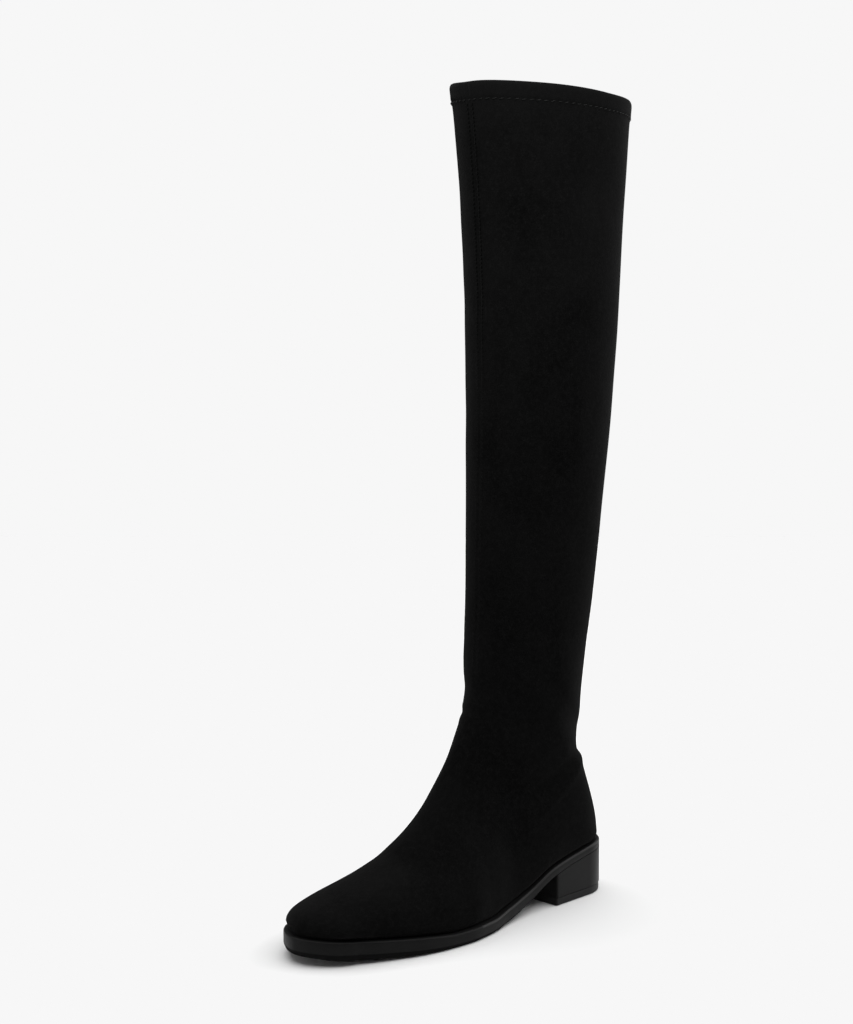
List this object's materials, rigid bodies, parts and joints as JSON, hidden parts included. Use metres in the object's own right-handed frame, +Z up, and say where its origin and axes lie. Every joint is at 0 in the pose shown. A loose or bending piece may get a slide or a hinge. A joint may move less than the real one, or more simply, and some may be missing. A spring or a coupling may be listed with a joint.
{
  "type": "stretch boot",
  "caption": "Tall pull-on stretch boot for the left foot: hollow suede upper to above the knee, almond toe, thin sole with a raised waist and a low block heel.",
  "frame": {"origin": "centre of the bottom of the boot's outer box, on the floor it stands on", "axes": "+X towards the toe, +Y towards the outer side of the left foot, +Z up the shaft"},
  "size_m": [0.2866, 0.1008, 0.5383],
  "materials": {
    "stretch_suede": "matte black stretch microsuede with a fine nap",
    "insole_cloth": "black lining cloth",
    "sole_rubber": "black satin moulded sole",
    "heel_plastic": "black satin lacquered heel",
    "lift_rubber": "black matte rubber"
  },
  "bodies": {
    "root": {"upper": "stretch_suede", "insole": "insole_cloth", "outsole": "sole_rubber", "heel_block": "heel_plastic", "top_lift": "lift_rubber"}
  },
  "joints": []
}
